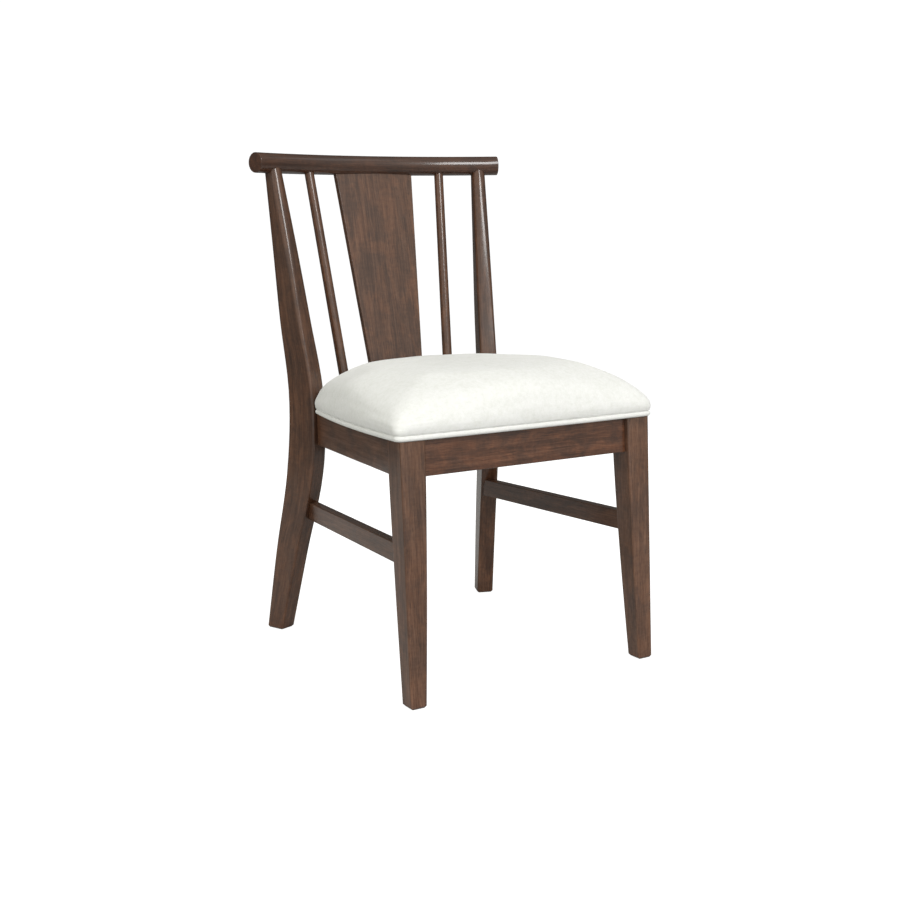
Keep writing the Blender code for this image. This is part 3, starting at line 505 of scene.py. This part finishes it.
def woven_fabric(name, turn=0.0):
    """Off-white woven upholstery cloth with slubs and a faint mottle; its UV map is in metres."""
    material, tree, shader = new_material(name, Roughness=0.92, Sheen_Weight=0.25, Sheen_Roughness=0.5,
                                          Specular_IOR_Level=0.18)
    flat = add(tree, "UVMap", uv_map="weave").outputs[0]
    flat = add(tree, "Mapping", {"Vector": flat, "Rotation": (0.0, 0.0, turn)}).outputs[0]
    place = add(tree, "TexCoord").outputs["Object"]
    split = add(tree, "SeparateXYZ", {0: flat})
    waves = []
    for axis in ("X", "Y"):
        count = combine(tree, split.outputs[axis], 2 * pi / THREAD_PITCH, "MULTIPLY")
        waves.append(add(tree, "Math", {0: count}, operation="SINE").outputs[0])
    crossing = combine(tree, waves[0], waves[1], "MULTIPLY")
    slubs = combine(tree, noise_at(tree, flat, *WEFT), noise_at(tree, flat, *WARP))
    tone = weighed(tree, (noise_at(tree, place, *MOTTLE), 0.75), (noise_at(tree, place, *PATCHES), 0.25))
    colour = ramp(tree, tone, FABRIC_TONES)
    threads = combine(tree, slubs, combine(tree, crossing, 0.10, "MULTIPLY"))
    colour = shaded(tree, colour, grey(tree, threads, *THREAD_SHADE))
    tree.links.new(colour, shader.inputs["Base Color"])
    roughen(tree, shader, weighed(tree, (crossing, 0.5), (slubs, 0.8)), 0.35)
    return material


def dust_cloth_material():
    """Thin black non-woven cloth: matted fibres."""
    material, tree, shader = new_material("dust_cloth_fibres", Roughness=0.95, Specular_IOR_Level=0.2)
    fibres = noise_at(tree, add(tree, "TexCoord").outputs["Object"], *MATTED_FIBRES)
    tree.links.new(ramp(tree, fibres, DUST_TONES), shader.inputs["Base Color"])
    roughen(tree, shader, fibres, 0.4)
    return material


def screw_material():
    """Yellow zinc plated steel with fine wear."""
    material, tree, shader = new_material("zinc_steel", Metallic=1.0)
    wear = noise_at(tree, add(tree, "TexCoord").outputs["Object"], *WEAR)
    tree.links.new(ramp(tree, wear, ZINC_TONES), shader.inputs["Base Color"])
    tree.links.new(grey(tree, wear, *WEAR_ROUGHNESS), shader.inputs["Roughness"])
    return material


# Timber

def smoothing_tree():
    """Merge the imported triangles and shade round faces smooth, keeping real edges sharp."""
    tree = bpy.data.node_groups.new("round faces", "GeometryNodeTree")
    tree.interface.new_socket("Geometry", in_out="INPUT", socket_type="NodeSocketGeometry")
    tree.interface.new_socket("Geometry", in_out="OUTPUT", socket_type="NodeSocketGeometry")
    make = tree.nodes.new
    start, end = make("NodeGroupInput"), make("NodeGroupOutput")
    strip = make("GeometryNodeRemoveAttribute")
    strip.inputs["Name"].default_value = "custom_normal"
    merge = make("GeometryNodeMergeByDistance")
    merge.inputs["Distance"].default_value = MERGE_DISTANCE
    faces = make("GeometryNodeSetShadeSmooth")
    faces.inputs["Shade Smooth"].default_value = True
    edges = make("GeometryNodeSetShadeSmooth")
    edges.domain = "EDGE"
    edges.inputs["Shade Smooth"].default_value = False
    angle = make("GeometryNodeInputMeshEdgeAngle")
    test = make("FunctionNodeCompare")
    test.data_type, test.operation = "FLOAT", "GREATER_THAN"
    test.inputs[1].default_value = SHARP_ANGLE
    link = tree.links.new
    link(start.outputs[0], strip.inputs["Geometry"])
    link(strip.outputs[0], merge.inputs["Geometry"])
    link(merge.outputs[0], faces.inputs["Geometry"])
    link(faces.outputs[0], edges.inputs["Geometry"])
    link(angle.outputs["Unsigned Angle"], test.inputs[0])
    link(test.outputs[0], edges.inputs["Selection"])
    link(edges.outputs[0], end.inputs[0])
    return tree


def dress(name, material, smoothing):
    """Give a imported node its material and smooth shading."""
    node = nodes[name]
    for slot in node.material_slots:
        slot.material = material
    round_faces = node.modifiers.new("round faces", "NODES")
    round_faces.node_group = smoothing
    weighted = node.modifiers.new("weighted normals", "WEIGHTED_NORMAL")
    weighted.keep_sharp = True


def dress_timber():
    """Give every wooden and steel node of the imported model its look."""
    smoothing = smoothing_tree()
    upright = (0.0, 0.0, 1.0)
    across = (1.0, 0.0, 0.0)

    def stain(name, wood, axis, seed, **look):
        dress(name, stained_wood(wood, axis, seed, **look), smoothing)

    for side, hand in ((1, "left"), (-1, "right")):
        rail = (-0.108 * side, 0.994, 0.0)
        stretcher = (-0.064 * side, 0.998, 0.0)
        spindle = (0.030 * side, 0.083, 0.427)
        lean = partial(along_rake, side=side)
        # Painted floor light: the front legs are painted brighter towards the floor.
        stain("front_leg_" + hand, "wood_front_leg_" + hand, upright, 3.1 + side,
              lift=1.04, tint=COOL, foot=1.24)
        # Painted shade and light: the back posts are painted darker overall and much brighter towards the
        # floor.
        stain("back_post_" + hand, "wood_back_post_" + hand, upright, 7.7 + side,
              lift=0.77, follow=lean, foot=1.66)
        # Painted light: the side rails are painted brighter and greyer, in place of the left lamp's light
        # and grey reflection on their faces.
        stain("side_seat_rail_" + hand, "wood_side_rail_" + hand, rail, 12.3 + side, lift=1.12, tint=COOL)
        stain("side_stretcher_" + hand, "wood_stretcher_" + hand, stretcher, 17.9 + side, lift=1.02)
        stain("spindle_" + hand, "wood_spindle_" + hand, spindle, 23.3 + side)
    splat = (0.0, 0.0836, 0.4266)
    # Painted shade: the crest is painted darker than the other boards, where it turns away from the light.
    stain("crest_rail", "wood_crest", across, 29.5, lift=0.54, follow=along_bow, tint=WARMEST)
    stain("front_seat_rail", "wood_front_rail", across, 34.1, lift=0.98, blotch=0.9, contrast=1.5, tint=WARM)
    stain("rear_seat_rail", "wood_rear_rail", across, 38.7)
    stain("back_splat", "wood_splat", splat, 43.3, lift=0.98, blotch=0.7, contrast=1.5)

    block = raw_wood("block_wood_grain", across, BLOCK_TONES)
    dowel = raw_wood("dowel_wood_grain", across, DOWEL_TONES)
    board = raw_wood("board_wood_grain", (0.0, 1.0, 0.0), BOARD_TONES, 0.75)
    steel = screw_material()
    for name in nodes:
        if name.startswith("corner_block"):
            dress(name, block, smoothing)
        elif name.startswith("dowel"):
            dress(name, dowel, smoothing)
        elif name.startswith(("screw", "seat_screw")):
            dress(name, steel, smoothing)
    dress("seat_board", board, smoothing)


# Upholstery

def seat_outline():
    """The seat's plan outside the welt, anticlockwise, in even small steps."""
    arcs = []
    for i, (place, radius, _) in enumerate(SEAT_CORNERS):
        point = Vector(place)
        before = (Vector(SEAT_CORNERS[i - 1][0]) - point).normalized()
        after = (Vector(SEAT_CORNERS[(i + 1) % len(SEAT_CORNERS)][0]) - point).normalized()
        half = before.angle(after) / 2
        centre = point + (before + after).normalized() * (radius / sin(half))
        start = point + before * radius * cos(half) / sin(half) - centre
        sweep = pi - 2 * half
        turns = [Matrix.Rotation(sweep * step / ARC_STEPS, 2) for step in range(ARC_STEPS + 1)]
        arcs.append([centre + turn @ start for turn in turns])
    line = []
    for i, (arc, (_, _, bow)) in enumerate(zip(arcs, SEAT_CORNERS)):
        line += arc
        run = arcs[(i + 1) % len(arcs)][0] - arc[-1]
        outward = Vector((run.y, -run.x)).normalized()
        steps = max(round(run.length / OUTLINE_PITCH), 1)
        for step in range(1, steps):
            t = step / steps
            line.append(arc[-1] + run * t + outward * bow * 4 * t * (1 - t))
    return line


def even_outline(count):
    """A number of points evenly round the seat's plan, their outward directions, and the whole run."""
    line = seat_outline()
    lengths = [0.0]
    for a, b in zip(line, line[1:] + line[:1]):
        lengths.append(lengths[-1] + (b - a).length)
    points, here = [], 0
    for i in range(count):
        goal = lengths[-1] * i / count
        while lengths[here + 1] < goal:
            here += 1
        t = (goal - lengths[here]) / (lengths[here + 1] - lengths[here])
        points.append(line[here].lerp(line[(here + 1) % len(line)], t))
    outward = []
    for i in range(count):
        run = points[(i + 1) % count] - points[i - 1]
        outward.append(Vector((run.y, -run.x)).normalized())
    return points, outward, lengths[-1]


def uneven(x, y, z):
    """Smooth unevenness about zero."""
    return noise.noise(Vector((x, y, z)))


def crown(share):
    """Plan scale and height share of the cushion's side and top, from the seam at 0 to the middle at 1."""
    last = len(CROWN_SHARES) - 1
    spot = share * last
    i = min(int(spot), last - 1)
    t = spot - i
    values = []
    for k in (0, 1):
        a = CROWN_SHARES[max(i - 1, 0)][k]
        b, c = CROWN_SHARES[i][k], CROWN_SHARES[i + 1][k]
        d = CROWN_SHARES[min(i + 2, last)][k]
        square = 2 * a - 5 * b + 4 * c - d
        cube = 3 * b - a - 3 * c + d
        values.append(0.5 * (2 * b + (c - a) * t + square * t * t + cube * t ** 3))
    return values


def cushion_point(point, outward, share, inset=0.0):
    """A point of the cushion's surface above one point of the outline."""
    scale, height = crown(share)
    swell = CUSHION_BULGE * max(1 - share * BULGE_FADE, 0.0)
    plan = SEAT_CENTRE + (point - SEAT_CENTRE + outward * (swell - inset)) * max(scale, 0.0)
    rise = height * CUSHION_HEIGHT - inset
    spread = max(scale, 0.001)
    quarter = SEAT_HALF[0] * SEAT_HALF[1] * spread ** 2
    corner = min(abs(plan.x * (plan.y - SEAT_CENTRE.y)) / quarter, 1.0)
    lift = max(rise - DROP_START, 0.0) / (CUSHION_HEIGHT - DROP_START)
    drop = CORNER_DROP * corner * spread ** DROP_POWER * lift
    return Vector((plan.x, plan.y, COVER_BOTTOM + rise - drop))


def skin(name, rings, material, close_top=False, close_bottom=False):
    """A mesh object through closed rings of points; a fan can end the last ring and a face the first."""
    count = len(rings[0])
    verts = [tuple(p) for ring in rings for p in ring]
    faces = []
    for r in range(len(rings) - 1):
        for i in range(count):
            j = (i + 1) % count
            faces.append((r * count + i, r * count + j, (r + 1) * count + j, (r + 1) * count + i))
    if close_top:
        last = (len(rings) - 1) * count
        verts.append(tuple(sum((Vector(v) for v in verts[last:]), Vector()) / count))
        faces += [(last + i, last + (i + 1) % count, len(verts) - 1) for i in range(count)]
    if close_bottom:
        faces.append(tuple(reversed(range(count))))
    mesh = bpy.data.meshes.new(name)
    mesh.from_pydata(verts, [], faces)
    mesh.shade_smooth()
    piece = bpy.data.objects.new(name, mesh)
    scene.collection.objects.link(piece)
    mesh.materials.append(material)
    return piece


def lay_uv(piece, places):
    """A UV map in metres, one place for each vertex."""
    layer = piece.data.uv_layers.new(name="weave")
    for loop in piece.data.loops:
        layer.data[loop.index].uv = places[loop.vertex_index]


def thicken(piece, thickness):
    """Give an open sheet its cloth's thickness."""
    thick = piece.modifiers.new("cloth thickness", "SOLIDIFY")
    thick.thickness = thickness
    thick.offset = 0.0


def cushion_core():
    """A slightly small closed copy of the cushion, evenly meshed for the simulation."""
    points, outward, _ = even_outline(CORE_POINTS)
    base = BOARD_TOP + CORE_BASE_RISE
    rings = [[(*(p - o * CORE_BASE_INSET), base) for p, o in zip(points, outward)]]
    for step in range(CORE_ROWS + 1):
        share = CORE_REACH * step / CORE_ROWS
        rings.append([cushion_point(p, o, share, CORE_INSET) for p, o in zip(points, outward)])
    core = skin("cushion_core", rings, None, True, True)
    core.data.remesh_voxel_size = VOXEL_SIZE
    bpy.context.view_layer.objects.active = core
    core.select_set(True)
    bpy.ops.object.voxel_remesh()
    return core


def swollen(core):
    """Swell a closed body with a cloth simulation, and return each vertex's old place and capped move."""
    start = [v.co.copy() for v in core.data.vertices]
    group = core.vertex_groups.new(name="held")
    for i, co in enumerate(start):
        held = 1.0 - min(max((co.z - BOARD_TOP) / HELD_RISE, 0.0), 1.0)
        group.add([i], held, "REPLACE")
    cloth = core.modifiers.new("cloth", "CLOTH")
    for key, value in CLOTH_SETTINGS.items():
        setattr(cloth.settings, key, value)
    cloth.settings.effector_weights.gravity = 0.0
    cloth.point_cache.frame_start, cloth.point_cache.frame_end = 1, LAST_FRAME
    for number in range(1, LAST_FRAME + 1):
        scene.frame_set(number)
    made = core.evaluated_get(bpy.context.evaluated_depsgraph_get()).to_mesh()
    moves = []
    for vertex, co in zip(made.vertices, start):
        move = vertex.co - co
        if move.length > SWELL_CAP:
            move *= SWELL_CAP / move.length
        moves.append(move)
    core.modifiers.remove(cloth)
    scene.frame_set(1)
    return start, moves


def swell(rings):
    """Move the cushion's rows above its seam as the simulated copy moves nearby."""
    core = cushion_core()
    start, moves = swollen(core)
    tree = KDTree(len(start))
    for i, co in enumerate(start):
        tree.insert(co, i)
    tree.balance()
    for ring in rings[len(SEAM_ROWS):]:
        for i, co in enumerate(ring):
            near = tree.find_n(co, SWELL_NEIGHBOURS)
            total = sum(1 / (d + SWELL_BLUR) for _, _, d in near)
            move = sum((moves[k] / (d + SWELL_BLUR) for _, k, d in near), Vector()) / total
            ring[i] = co + Vector((move.x, move.y, move.z * SWELL_UPWARD))
    bpy.data.objects.remove(core, do_unlink=True)


def softened(ring, passes):
    """A closed ring of points with its corners eased by repeated averaging."""
    for _ in range(passes):
        before = ring[-1:] + ring[:-1]
        after = ring[1:] + ring[:1]
        ring = [(a + b * 2 + c) / 4 for a, b, c in zip(before, ring, after)]
    return ring


def gather(rings, outward, around):
    """Pucker the rows near the seam, less and less up the cushion's side."""
    for r in range(GATHER_START, GATHER_START + GATHER_ROWS):
        reach = (r - GATHER_START) / GATHER_ROWS
        strength = GATHER_DEPTH * (1 - reach) ** 2 * min(1.0, (r - 1) / 3)
        for i, co in enumerate(rings[r]):
            run = i / len(rings[r]) * around
            fine = uneven(run * GATHER_FINE_WAVES, r * 0.2, 9.1)
            wave = uneven(run * GATHER_WAVES, r * 0.10, 3.7) + GATHER_FINE_SHARE * fine
            rings[r][i] = co + Vector((*outward[i], GATHER_UPWARD)) * wave * strength


def lay_from_middle(piece, rings, points):
    """A UV map in metres that spreads from the cushion's middle, each place at its run over the surface."""
    runs = [[0.0] * len(points)]
    for lower, ring in zip(rings, rings[1:]):
        runs.append([run + (co - last).length for run, co, last in zip(runs[-1], ring, lower)])
    places = []
    for row in runs:
        for point, run, whole in zip(points, row, runs[-1]):
            away = (point - SEAT_CENTRE).normalized() * (whole - run)
            places.append((away.x, away.y))
    lay_uv(piece, places + [(0.0, 0.0)])


def make_cushion(fabric):
    """The fabric over the filling: crowned, swollen between drawn-down corners, with a puckered seam."""
    points, outward, around = even_outline(CUSHION_POINTS)
    rings = []
    for inset, z in SEAM_ROWS:
        rings.append([Vector((*(p - o * inset), z)) for p, o in zip(points, outward)])
    for step in range(CUSHION_ROWS + 1):
        share = CUSHION_REACH * step / CUSHION_ROWS
        rings.append([cushion_point(p, o, share) for p, o in zip(points, outward)])
    swell(rings)
    first = len(SEAM_ROWS)
    for r in range(first, len(rings)):
        more = EASE_MORE * min((r - first) / EASE_ROWS, 1.0)
        rings[r] = softened(rings[r], round(EASE_PASSES + more))
    gather(rings, outward, around)
    cushion = skin("seat_cushion", rings, fabric, close_top=True)
    lay_from_middle(cushion, rings, points)
    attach(cushion, "root")
    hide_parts("seat_cover", "seat_foam")


def make_welt(fabric):
    """Fabric covered cord round the seat, with slight unevenness."""
    points, outward, around = even_outline(WELT_POINTS)
    runs = [i / WELT_POINTS * around for i in range(WELT_POINTS)]
    radius = WELT_DIAMETER / 2
    rings = []
    for k in range(WELT_SIDES):
        angle = 2 * pi * k / WELT_SIDES
        ring = []
        for p, o, run in zip(points, outward, runs):
            slow = WELT_SLOW_SHARE * uneven(run * WELT_SLOW_WAVES, 0.0, 1.3)
            quick = WELT_QUICK_SHARE * uneven(run * WELT_QUICK_WAVES, angle, 5.1)
            fullness = 1 + slow + quick
            across = cos(angle) * radius * fullness
            up = sin(angle) * radius * fullness
            ring.append(Vector((*(p + o * (across - radius)), COVER_BOTTOM + radius + up)))
        rings.append(ring)
    rings.append([co.copy() for co in rings[0]])
    welt = skin("seat_welt", rings, fabric)
    girth = 2 * pi * radius
    lay_uv(welt, [(run, k / WELT_SIDES * girth) for k in range(len(rings)) for run in runs])
    weld = welt.modifiers.new("closed", "WELD")
    weld.merge_threshold = 0.00001
    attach(welt, "root")
    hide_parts("seat_piping")


def make_flange(fabric):
    """The cover's edge, pulled down behind the welt and turned under the seat board."""
    points, outward, around = even_outline(FLANGE_POINTS)
    rows = [
        (WALL_INSET, COVER_BOTTOM + WELT_DIAMETER + 0.002, 1.0),
        (WALL_INSET, COVER_BOTTOM + 0.0016, 1.0),
        (FLANGE_INSET, COVER_BOTTOM + 0.0005, 1.0),
    ]
    for step in range(1, FLANGE_ROWS + 1):
        rows.append((FLANGE_INSET, COVER_BOTTOM + 0.0002, 1 - (1 - FLANGE_SCALE) * step / FLANGE_ROWS))
    rings = []
    for inset, z, scale in rows:
        ring = []
        for i, (p, o) in enumerate(zip(points, outward)):
            plan = SEAT_CENTRE + (p - o * inset - SEAT_CENTRE) * scale
            wave = abs(uneven(i / FLANGE_POINTS * around * FLANGE_WAVES, scale * 9, 2.2))
            ripple = FLANGE_RIPPLE * (1 - scale) / (1 - FLANGE_SCALE) * wave
            ring.append(Vector((plan.x, plan.y, z + ripple)))
        rings.append(ring)
    rings.reverse()
    flange = skin("cover_flange", rings, fabric)
    lay_uv(flange, [(v.co.x, v.co.y + v.co.z) for v in flange.data.vertices])
    thicken(flange, FLANGE_THICKNESS)
    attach(flange, "root")


def make_dust_cloth():
    """The black cloth that closes the seat from below, drawn tight between its edges."""
    points, outward, _ = even_outline(DUST_POINTS)
    rings = []
    for step in range(DUST_ROWS):
        share = 1 - step / DUST_ROWS
        ring = []
        for i, (p, o) in enumerate(zip(points, outward)):
            plan = SEAT_CENTRE + (p - o * DUST_INSET - SEAT_CENTRE) * FLANGE_SCALE * share
            ripple = DUST_RIPPLE * share ** 8 * uneven(i * 0.45, share * 4, 6.1)
            sag = DUST_SAG * (1 - share ** 2) + ripple
            ring.append(Vector((plan.x, plan.y, COVER_BOTTOM + DUST_RISE - sag)))
        rings.append(ring)
    rings.reverse()
    cloth = skin("dust_cloth", rings, dust_cloth_material(), close_bottom=True)
    thicken(cloth, DUST_THICKNESS)
    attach(cloth, "root")
    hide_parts("dust_cover")


# The scene

scene.view_settings.view_transform = "Standard"
scene.view_settings.look = "None"
place_camera()
make_surroundings()
dress_timber()
cover_fabric = woven_fabric("seat_fabric_weave")
bias_fabric = woven_fabric("welt_fabric_weave", radians(45))
make_cushion(cover_fabric)
make_welt(bias_fabric)
make_flange(cover_fabric)
make_dust_cloth()
